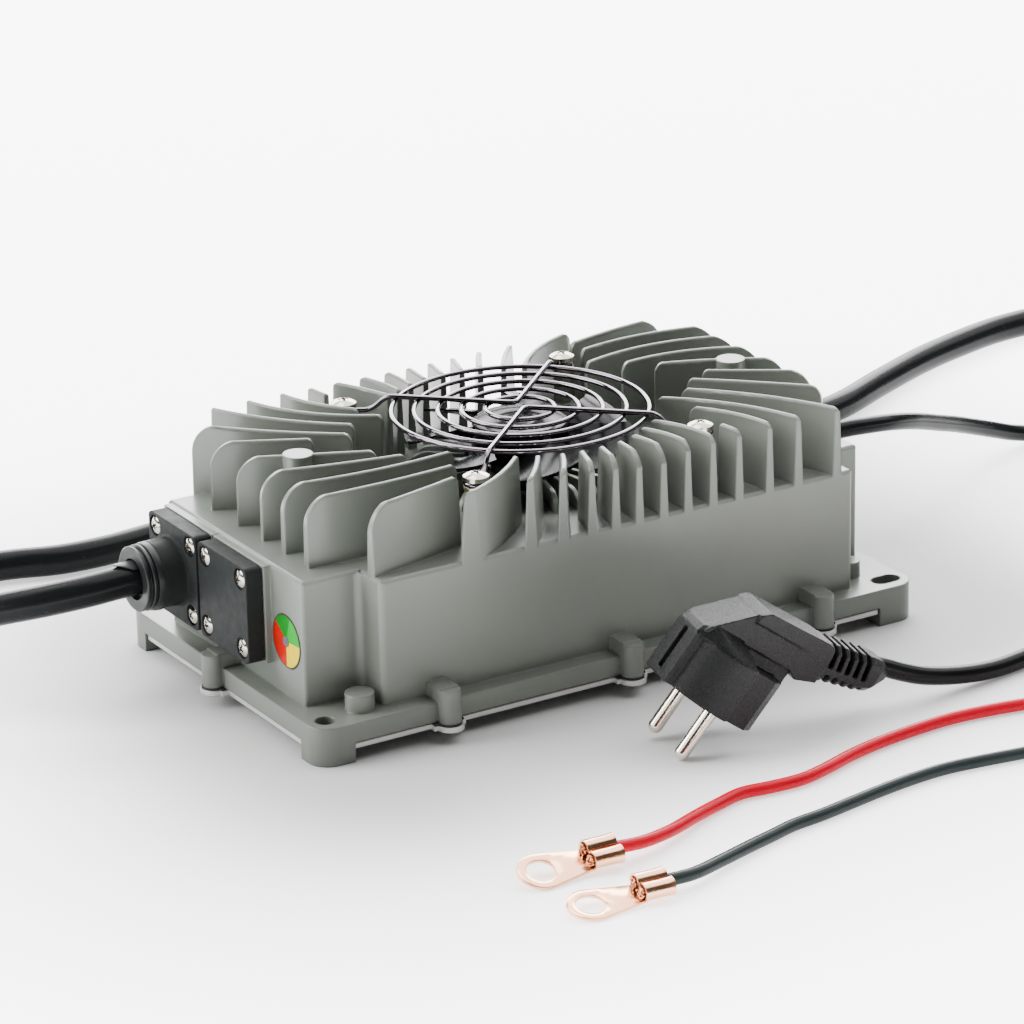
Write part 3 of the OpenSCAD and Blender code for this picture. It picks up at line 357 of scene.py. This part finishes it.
M["nickel"] = finish_mat("nickel_plate", srgb(222, 214, 200), 0.14, metal=1, vary=0.05, vscale=150, rvary=0.06, bump=0.03, bscale=1500, bevel=0.3)
M["plug"] = finish_mat("plug_pvc", srgb(12, 13, 14), 0.34, vary=0.12, vscale=500, rvary=0.1, bump=0.7, bscale=2200, bdist=0.0003, bevel=0.5, spec=0.2)
M["tie"] = finish_mat("tie_nylon", srgb(30, 31, 32), 0.4, vary=0.08, vscale=200, bump=0.1, bevel=0.3)


def disc_material():
    """The status disc: plain coloured sectors round its centre, under a clear gloss, inside a dark rim."""
    k = bpy.data.materials.new("status_disc")
    k.use_nodes = True
    nt = k.node_tree
    b = nt.nodes["Principled BSDF"]
    b.inputs["Coat Weight"].default_value = 0.03
    b.inputs["Specular IOR Level"].default_value = 0.06
    b.inputs["Coat Roughness"].default_value = 0.15
    tc = nt.nodes.new("ShaderNodeTexCoord")
    sep = nt.nodes.new("ShaderNodeSeparateXYZ")
    nt.links.new(tc.outputs["Object"], sep.inputs["Vector"])

    def op(kind, a, c=None):
        n = nt.nodes.new("ShaderNodeMath")
        n.operation = kind
        for i, x in enumerate((a, c)):
            if x is None:
                continue
            if isinstance(x, (int, float)):
                n.inputs[i].default_value = x
            else:
                nt.links.new(x, n.inputs[i])
        return n.outputs[0]

    h = op("SUBTRACT", -0.03444, sep.outputs["Y"])
    v = op("SUBTRACT", sep.outputs["Z"], 0.03198)
    ang = op("ARCTAN2", v, h)
    turn = op("ADD", op("DIVIDE", ang, 2 * math.pi), 0.5)
    rad = op("SQRT", op("ADD", op("MULTIPLY", h, h), op("MULTIPLY", v, v)))
    ramp = nt.nodes.new("ShaderNodeValToRGB")
    ramp.color_ramp.interpolation = "CONSTANT"
    stops = [(0.0, srgb(172, 6, 2)), (0.178, srgb(176, 20, 8)), (0.245, srgb(210, 182, 0)), (0.508, srgb(26, 146, 44)),
             (0.703, srgb(0, 108, 26)), (0.89, srgb(172, 6, 2))]
    el = ramp.color_ramp.elements
    while len(el) > 1:
        el.remove(el[-1])
    el[0].position, el[0].color = stops[0]
    for pos, col in stops[1:]:
        e = el.new(pos)
        e.color = col
    nt.links.new(turn, ramp.inputs["Fac"])
    rim = nt.nodes.new("ShaderNodeValToRGB")
    rim.color_ramp.interpolation = "CONSTANT"
    rim.color_ramp.elements[0].position, rim.color_ramp.elements[0].color = 0, (1, 1, 1, 1)
    rim.color_ramp.elements[1].position, rim.color_ramp.elements[1].color = 0.9, (0, 0, 0, 1)
    nt.links.new(op("MULTIPLY", rad, 1 / 0.00943), rim.inputs["Fac"])
    mx = nt.nodes.new("ShaderNodeMix")
    mx.data_type = "RGBA"
    mx.inputs[6].default_value = srgb(58, 62, 44)
    nt.links.new(rim.outputs["Color"], mx.inputs["Factor"])
    nt.links.new(ramp.outputs["Color"], mx.inputs[7])
    # faint print grain
    n1 = nt.nodes.new("ShaderNodeTexNoise")
    n1.inputs["Scale"].default_value = 900
    nt.links.new(tc.outputs["Object"], n1.inputs["Vector"])
    grain = nt.nodes.new("ShaderNodeMapRange")
    grain.inputs["To Min"].default_value, grain.inputs["To Max"].default_value = 0.9, 1.06
    nt.links.new(n1.outputs["Fac"], grain.inputs["Value"])
    mul = nt.nodes.new("ShaderNodeVectorMath")
    mul.operation = "SCALE"
    nt.links.new(mx.outputs[2], mul.inputs[0])
    nt.links.new(grain.outputs["Result"], mul.inputs["Scale"])
    nt.links.new(mul.outputs["Vector"], b.inputs["Base Color"])
    mr = nt.nodes.new("ShaderNodeMapRange")
    mr.inputs["To Min"].default_value, mr.inputs["To Max"].default_value = 0.25, 0.4
    nt.links.new(n1.outputs["Fac"], mr.inputs["Value"])
    nt.links.new(mr.outputs["Result"], b.inputs["Roughness"])
    return k


M["disc"] = disc_material()

NODE_MAT = {
    "housing": "cast", "base_plate": "plate", "base_gasket": "rubber", "base_screws": "stainless",
    "dc_gland_panel": "panel", "dc_panel_gasket": "rubber", "dc_panel_screws": "stainless", "dc_gland_nut": "gland",
    "blank_panel": "panel", "blank_panel_gasket": "rubber", "blank_panel_screws": "stainless",
    "ac_gland_panel": "panel", "ac_panel_gasket": "rubber", "ac_panel_screws": "stainless", "ac_strain_relief": "gland",
    "fan_motor_base": "motor", "fan_base_screws": "steel", "fan_stator": "stator", "fan_bearings": "steel", "fan_shaft": "steel",
    "fan_magnet": "magnet", "fan_rotor": "fan", "guard_posts": "post", "fan_guard": "chrome", "guard_washers": "washer", "guard_screws": "stainless",
    "status_window": "disc", "status_lamp": "lamp", "circuit_board": "board", "board_screws": "steel", "transformer": "core",
    "transformer_winding": "winding", "choke_core": "yellow", "choke_winding": "enamel", "capacitors": "cap", "power_transistors": "package",
    "insulating_pad": "pad", "terminal_blocks": "block", "mains_cord": "mains", "mains_coil": "mains", "mains_cord_end": "mains",
    "plug_body": "plug", "plug_pins": "nickel", "plug_earth_contacts": "nickel", "dc_cable": "cable", "lead_breakout": "gland",
    "red_lead": "red", "black_lead": "black", "red_ring_terminal": "copper", "black_ring_terminal": "copper", "coil_tie": "tie"}
for name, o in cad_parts.items():
    k = M[NODE_MAT.get(name, "gland")]
    if o.material_slots:
        for s in o.material_slots:
            s.material = k
    else:
        o.data.materials.append(k)


def give(o, key):
    o.data.materials.clear()
    o.data.materials.append(M[key])


give(mains, "mains"); give(dc, "cable"); give(red, "red"); give(black, "black")

# ---------------------------------------------------------------- fan guard
ring_z, wire_z, eye_z, H = 96.1, 97.5, 91.1, 52.439
parts = []
for r in (52.2, 43, 33.4, 23.8, 14):
    n, k = 144, 14
    verts, faces = [], []
    for i in range(n):
        a = 2 * math.pi * i / n
        for j in range(k):
            b = 2 * math.pi * j / k
            rr = r + 0.976 * math.cos(b)
            verts.append(V(rr * math.cos(a), rr * math.sin(a), ring_z + 0.976 * math.sin(b)))
            faces.append((i * k + j, ((i + 1) % n) * k + j, ((i + 1) % n) * k + (j + 1) % k, i * k + (j + 1) % k))
    parts.append((verts, faces))


def arm(mx, s):
    return [V(mx * 45, s * 45.6, eye_z), V(mx * 42.6, s * 43.2, eye_z + 2), V(mx * 40.6, s * 41.3, wire_z - 1.6), V(mx * 38.4, s * 39.3, wire_z)]


def eye(mx, s):
    a0 = math.degrees(math.atan2(-s, -mx))
    return [V(mx * H + 4.3 * math.cos(math.radians(a0 + mx * s * (18 + 33 * k))), s * H + 4.3 * math.sin(math.radians(a0 + mx * s * (18 + 33 * k))), eye_z)
            for k in [9 - 0.25 * i for i in range(37)]]


for s in (-1, 1):
    line = eye(-1, s) + arm(-1, s) + [V(-2.6, s * 5.6, wire_z), V(-1, s * 4.3, wire_z), V(1, s * 4.3, wire_z), V(2.6, s * 5.6, wire_z)] + arm(1, s)[::-1] + eye(1, s)[::-1]
    parts.append(tube_parts(round_corners(line, 1.6 * MM, 4), 1.05 * MM, 16))
v, f = join_parts(parts)
guard = obj_from("guard_wires", v, f)
sharpen(guard, 60)
give(guard, "chrome")
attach(guard, "body")
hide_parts("fan_guard")

# ---------------------------------------------------------------- fan rotor
parts = [lathe_parts([(0, 91.3), (5.0, 91.3), (5.4, 91.05), (6.6, 91.05), (7.0, 91.35), (17.2, 91.6), (18.6, 91.45), (19.5, 90.9), (19.95, 89.9), (20, 88.6),
                      (20, 78.2), (19.7, 77.7), (18.2, 77.65), (17.75, 78.1), (17.7, 86.4), (1.7, 86.4), (1.7, 90.2), (0, 90.2)], 96)]
parts = [([q * MM for q in v], f) for v, f in parts]
NB = 7
for i in range(NB):
    a0 = 2 * math.pi * i / NB + math.radians(146)
    nu, nv = 14, 12
    grid = {}
    verts, faces = [], []
    for side in (1, -1):
        for iu in range(nu + 1):
            u = iu / nu
            r = 19.4 + (47.2 - 19.4) * u
            half = math.radians(19 + 4.5 * u - 2.2 * max(0, (u - 0.82) / 0.18) ** 2)
            for iv in range(nv + 1):
                t = 2 * iv / nv - 1
                # the tip corners are rounded off, the chord is cambered
                edge = 1 - 0.12 * max(0, (u - 0.75) / 0.25) ** 2 * abs(t) ** 3
                rise = 5.3 - 0.9 * u
                z = 84.9 + rise * (t - 0.22 * (1 - t * t))
                ang = a0 + t * half + math.radians(7) * u * u
                th = 0.75 * (1 - 0.55 * abs(t) ** 2.5)
                rr = 19.4 + (r - 19.4) * edge
                grid[(side, iu, iv)] = len(verts)
                verts.append(Vector((rr * math.cos(ang), rr * math.sin(ang), z + side * th)) * MM)
    for iu in range(nu):
        for iv in range(nv):
            q = [grid[(1, iu, iv)], grid[(1, iu + 1, iv)], grid[(1, iu + 1, iv + 1)], grid[(1, iu, iv + 1)]]
            faces.append(tuple(q))
            q = [grid[(-1, iu, iv)], grid[(-1, iu, iv + 1)], grid[(-1, iu + 1, iv + 1)], grid[(-1, iu + 1, iv)]]
            faces.append(tuple(q))
    for iu in range(nu):
        for iv in (0, nv):
            q = (grid[(1, iu, iv)], grid[(-1, iu, iv)], grid[(-1, iu + 1, iv)], grid[(1, iu + 1, iv)])
            faces.append(q if iv else q[::-1])
    for iv in range(nv):
        for iu in (0, nu):
            q = (grid[(1, iu, iv)], grid[(1, iu, iv + 1)], grid[(-1, iu, iv + 1)], grid[(-1, iu, iv)])
            faces.append(q if iu else q[::-1])
    parts.append((verts, faces))
v, f = join_parts(parts)
rotor = obj_from("fan_blades_hub", v, f)
outward(rotor)
sharpen(rotor, 50)
give(rotor, "fan")
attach(rotor, "rotor")
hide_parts("fan_rotor")

# ---------------------------------------------------------------- ring terminals
def terminal(name, at, turn, lean, seed):
    rn = random.Random(seed)
    bm = bmesh.new()
    # eye and tongue: an outline with the hole, rims slightly rounded
    n = 64
    outer = []
    for i in range(n + 1):
        a = math.radians(80 + (280 - 80) * i / n)
        outer.append((9 * math.cos(a), 9 * math.sin(a)))
    tongue = [(8, -7.55), (14, -6.33), (20.5, -5), (20.5, 5), (14, 6.33), (8, 7.55)]
    loop = outer + tongue
    hole = [(5.488 * math.cos(2 * math.pi * i / 48), 5.488 * math.sin(2 * math.pi * i / 48)) for i in range(48)]
    rows = []
    for z, inset in ((0.0, 0.25), (0.2, 0.0), (1.2, 0.0), (1.4, 0.25)):
        o_row, h_row = [], []
        for x, y in loop:
            d = math.hypot(x, y) if x < 1.7 else None
            k = (1 - inset / 9) if d else 1
            o_row.append(bm.verts.new((x * k, y * (k if d else (1 - inset / 5)), z)))
        for x, y in hole:
            h_row.append(bm.verts.new((x * (1 + inset / 5.488), y * (1 + inset / 5.488), z)))
        rows.append((o_row, h_row))
    for (a, ah), (b, bh) in zip(rows, rows[1:]):
        for i in range(len(a)):
            bm.faces.new((a[i], a[(i + 1) % len(a)], b[(i + 1) % len(a)], b[i]))
        for i in range(len(ah)):
            bm.faces.new((ah[(i + 1) % len(ah)], ah[i], bh[i], bh[(i + 1) % len(ah)]))
    for row, flip in ((rows[0], True), (rows[-1], False)):
        edges = [bm.edges.get((row[0][i], row[0][(i + 1) % len(row[0])])) for i in range(len(row[0]))]
        edges += [bm.edges.get((row[1][i], row[1][(i + 1) % len(row[1])])) for i in range(len(row[1]))]
        bmesh.ops.triangle_fill(bm, edges=edges, use_beauty=True)
    bmesh.ops.recalc_face_normals(bm, faces=bm.faces)
    # crimped barrel: two wings curled in over the strands, a B in section
    def section(s, grow):
        out = []
        for k in range(0, 15):
            a = math.radians(-90 + k * (235 / 14))
            out.append((3.15 + (3.45 + grow) * math.cos(a), 3.55 + (3.45 + grow) * math.sin(a)))
        # dive to the middle of the top
        out.append((0.35, 4.1 + s))
        return out
    def ring(x, grow, thick):
        half = section(0, grow)
        half_in = section(0, grow - thick)
        pts = [(-y, z) for y, z in half[::-1]] + half
        return [(x, y, max(z, 0.02 if grow > -0.5 else 0.5)) for y, z in pts]
    xs = [(18.9, 0.15), (19.6, 0.0), (23, -0.08), (25.5, -0.12), (28.5, -0.05), (30.4, 0.08), (31, 0.22)]
    shells = []
    for x, g in xs:
        shells.append([bm.verts.new(p) for p in ring(x, g, 0)])
    inner = []
    for x, g in xs:
        inner.append([bm.verts.new(p) for p in ring(x, g - 0.8, 0)])
    m_ = len(shells[0])
    for a, b in zip(shells, shells[1:]):
        for i in range(m_):
            bm.faces.new((a[i], b[i], b[(i + 1) % m_], a[(i + 1) % m_]))
    for a, b in zip(inner, inner[1:]):
        for i in range(m_):
            bm.faces.new((a[i], a[(i + 1) % m_], b[(i + 1) % m_], b[i]))
    for a, b, fl in ((shells[0], inner[0], False), (shells[-1], inner[-1], True)):
        for i in range(m_):
            q = (a[i], a[(i + 1) % m_], b[(i + 1) % m_], b[i])
            bm.faces.new(q if not fl else q[::-1])
    for f_ in bm.faces:
        f_.smooth = True
    me = bpy.data.meshes.new(name)
    bm.to_mesh(me)
    bm.free()
    # strands
    sv, sf = [], []
    for side in (-1, 1):
        for ring_r, count in ((0, 1), (0.95, 6), (1.85, 12)):
            for j in range(count):
                a = 2 * math.pi * j / count + rn.uniform(-0.15, 0.15)
                y, z = side * 3.05 + ring_r * math.cos(a), 3.5 + ring_r * math.sin(a)
                x0 = 17.9 + rn.uniform(-0.7, 0.6)
                p = [Vector((x0, y + rn.uniform(-0.12, 0.12), z + rn.uniform(-0.12, 0.12))), Vector((21.5, y, z)), Vector((31.2, y * 0.75, 3.5 + (z - 3.5) * 0.8))]
                vv, ff = tube_parts(p, 0.44, 8)
                o_ = len(sv)
                sv += vv
                sf += [tuple(i + o_ for i in q) for q in ff]
    base = len(me.vertices)
    bm = bmesh.new()
    bm.from_mesh(me)
    new = [bm.verts.new(q) for q in sv]
    for q in sf:
        fc = bm.faces.new([new[i] for i in q])
        fc.smooth = True
    rot = Matrix.Translation(V(*at)) @ Matrix.Rotation(math.radians(turn), 4, "Z") @ Matrix.Rotation(math.radians(lean), 4, "X") @ Matrix.Scale(MM, 4)
    bmesh.ops.transform(bm, matrix=rot, verts=bm.verts)
    bm.to_mesh(me)
    bm.free()
    o = bpy.data.objects.new(name, me)
    bpy.context.scene.collection.objects.link(o)
    me.materials.append(M["copper"])
    sharpen(o, 40)
    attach(o, "body")
    return o


red_lug = terminal("red_lug", (-122.3, -210.2, 3.05), -3, 19.6, 3)
black_lug = terminal("black_lug", (-120.95, -241.85, 1.82), -4.2, 11.4, 5)
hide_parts("red_ring_terminal")
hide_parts("black_ring_terminal")


# ---------------------------------------------------------------- battery cable gland
def gland():
    """Barrel end, groove, ring and a split end disc round the cable."""
    x0 = -153.8
    prof = [(6.9, 0.0), (13.9, 0.0), (13.85, 1.6), (13.6, 2.5), (13.0, 2.75), (12.6, 2.9), (12.6, 3.2), (13.1, 3.35), (13.5, 3.6), (13.55, 4.3), (13.2, 4.7),
            (12.2, 4.9), (11.9, 5.2), (11.9, 6.0), (12.4, 6.2), (13.0, 6.3), (13.3, 6.6), (13.3, 7.3), (12.9, 7.65), (9.1, 7.8), (8.5, 7.6), (8.4, 7.2), (8.1, 4.5), (6.9, 4.4)]
    v, f = lathe_parts(prof, 96, closed=True)
    parts = [(v, f)]
    # the clamping jaw reaches out over the cable
    jv, jf = [], []
    n = 18
    for i in range(n + 1):
        a = math.radians(52 + 84 * i / n)
        far = 15.8 - 0.085 * abs(a * 180 / math.pi - 96) ** 1.15
        for r, z in ((7.0, 6.8), (7.75, 6.8), (7.65, far), (7.2, far + 0.2)):
            jv.append(Vector((r * math.cos(a), r * math.sin(a), z)))
    for i in range(n):
        for j in range(4):
            a, b = i * 4 + j, i * 4 + (j + 1) % 4
            jf.append((a, b, b + 4, a + 4))
    jf += [(3, 2, 1, 0), tuple(n * 4 + j for j in range(4))]
    parts.append((jv, jf))
    v, f = join_parts(parts)
    # the lathe's Z runs outward along -X, its X along +Y, its Y along +Z
    v = [V(x0 - q.z, 32 + (-q.x), 47 + q.y) for q in v]
    o = obj_from("battery_gland", v, f)
    outward(o)
    sharpen(o, 32)
    give(o, "gland")
    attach(o, "body")
    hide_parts("dc_gland_nut")
    return o


gland()


# ---------------------------------------------------------------- plug body
def remeshed(node, name, voxel, smooth, key, target=60000):
    """A moulded skin over a CAD solid: the same shape with its edges softened."""
    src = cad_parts[node]
    o = bpy.data.objects.new(name, src.data.copy())
    bpy.context.scene.collection.objects.link(o)
    o.matrix_world = Matrix.Identity(4)
    w = o.modifiers.new("weld", "WELD")
    w.merge_threshold = 0.00001
    r = o.modifiers.new("remesh", "REMESH")
    r.mode, r.voxel_size, r.use_smooth_shade = "VOXEL", voxel * MM, True
    s = o.modifiers.new("smooth", "SMOOTH")
    s.factor, s.iterations = 0.5, smooth
    bpy.context.view_layer.update()
    dg = bpy.context.evaluated_depsgraph_get()
    me = bpy.data.meshes.new_from_object(o.evaluated_get(dg))
    o.modifiers.clear()
    o.data = me
    n = sum(len(p.vertices) - 2 for p in me.polygons)
    if n > target:
        d = o.modifiers.new("decimate", "DECIMATE")
        d.ratio = target / n
        bpy.context.view_layer.update()
        dg = bpy.context.evaluated_depsgraph_get()
        me = bpy.data.meshes.new_from_object(o.evaluated_get(dg))
        o.modifiers.clear()
        o.data = me
    me.polygons.foreach_set("use_smooth", [True] * len(me.polygons))
    me.materials.clear()
    me.materials.append(M[key])
    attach(o, "body")
    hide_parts(node)
    return o


plug = remeshed("plug_body", "plug_moulding", 0.38, 2, "plug", 110000)

# ---------------------------------------------------------------- cords, attached to the body in place of the hidden CAD cords
for o, node, key in ((mains, ("mains_cord", "mains_coil", "mains_cord_end"), "cord_black"), (dc, ("dc_cable",), "cord_black"),
                     (red, ("red_lead",), "lead_red"), (black, ("black_lead",), "lead_black")):
    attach(o, "body")
    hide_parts(*node)

# ---------------------------------------------------------------- floor and light
floor = obj_from("floor", [(-8, -8, 0), (8, -8, 0), (8, 8, 0), (-8, 8, 0)], [(0, 1, 2, 3)], smooth=False)
fm = bpy.data.materials.new("floor_pale")
fm.use_nodes = True
ft = fm.node_tree
fb = ft.nodes["Principled BSDF"]
fb.inputs["Roughness"].default_value = 0.9
fb.inputs["Specular IOR Level"].default_value = 0.1
# painted shade and painted light on the floor: its colour is darker near the body as a painted shadow pool, and it
# glows brighter away from the object; distance from the body's footprint
fc = ft.nodes.new("ShaderNodeTexCoord")


def vec(kind, a, b=None):
    n = ft.nodes.new("ShaderNodeVectorMath")
    n.operation = kind
    ft.links.new(a, n.inputs[0])
    if b is not None:
        n.inputs[1].default_value = b
    return n.outputs["Value" if kind == "LENGTH" else "Vector"]


fd = vec("LENGTH", vec("MAXIMUM", vec("SUBTRACT", vec("ABSOLUTE", vec("ADD", fc.outputs["Object"], (-0.01, 0.01, 0))), (0.105, 0.055, 10)), (0, 0, 0)))


def ramp_to(socket, near, far, a, b):
    n = ft.nodes.new("ShaderNodeMapRange")
    n.interpolation_type = "SMOOTHSTEP"
    n.inputs["From Min"].default_value, n.inputs["From Max"].default_value = near, far
    n.inputs["To Min"].default_value, n.inputs["To Max"].default_value = a, b
    ft.links.new(fd, n.inputs["Value"])
    ft.links.new(n.outputs["Result"], socket)


# painted shadow pool: the floor's colour darkens towards the body's footprint
ramp_to(fb.inputs["Base Color"], 0.02, 0.12, 0.5, 0.9)
# painted light: the floor glows, with no glow near the body and full glow farther out
fb.inputs["Emission Color"].default_value = (1, 1, 1, 1)
ramp_to(fb.inputs["Emission Strength"], 0.03, 0.24, 0.0, 4.1)
floor.data.materials.append(fm)


def area(name, at, size, radiance, target=(0, 0, 0.04), colour=(1, 1, 1)):
    d = bpy.data.lights.new(name, "AREA")
    d.shape = "RECTANGLE"
    d.size, d.size_y = size
    d.energy = radiance * math.pi * size[0] * size[1]
    d.color = colour
    o = bpy.data.objects.new(name, d)
    bpy.context.scene.collection.objects.link(o)
    o.location = at
    o.rotation_euler = (Vector(target) - Vector(at)).to_track_quat("-Z", "Y").to_euler()
    return o


area("light_left", (-2.3, 1.3, 1.6), (2.0, 1.8), 15.0)
area("light_back", (1.2, 2.6, 1.35), (3.8, 2.1), 14.0)
area("light_over", (1.15, 0.45, 2.1), (3.0, 3.0), 4.8)
area("light_low", (-2.4, -0.6, 0.9), (0.9, 0.9), 4.0)
area("light_front", (-0.4, -3.0, 1.6), (1.6, 1.0), 0.12)
sun = bpy.data.lights.new("light_top", "SUN")
sun.energy, sun.angle = math.pi * 0.6, math.radians(40)
so = bpy.data.objects.new("light_top", sun)
so.rotation_euler = (math.radians(-22), math.radians(-12), 0)
bpy.context.scene.collection.objects.link(so)
world = bpy.data.worlds.new("studio")
world.use_nodes = True
world.node_tree.nodes["Background"].inputs["Color"].default_value = (1, 1, 1, 1)
world.node_tree.nodes["Background"].inputs["Strength"].default_value = 0.08
bpy.context.scene.world = world
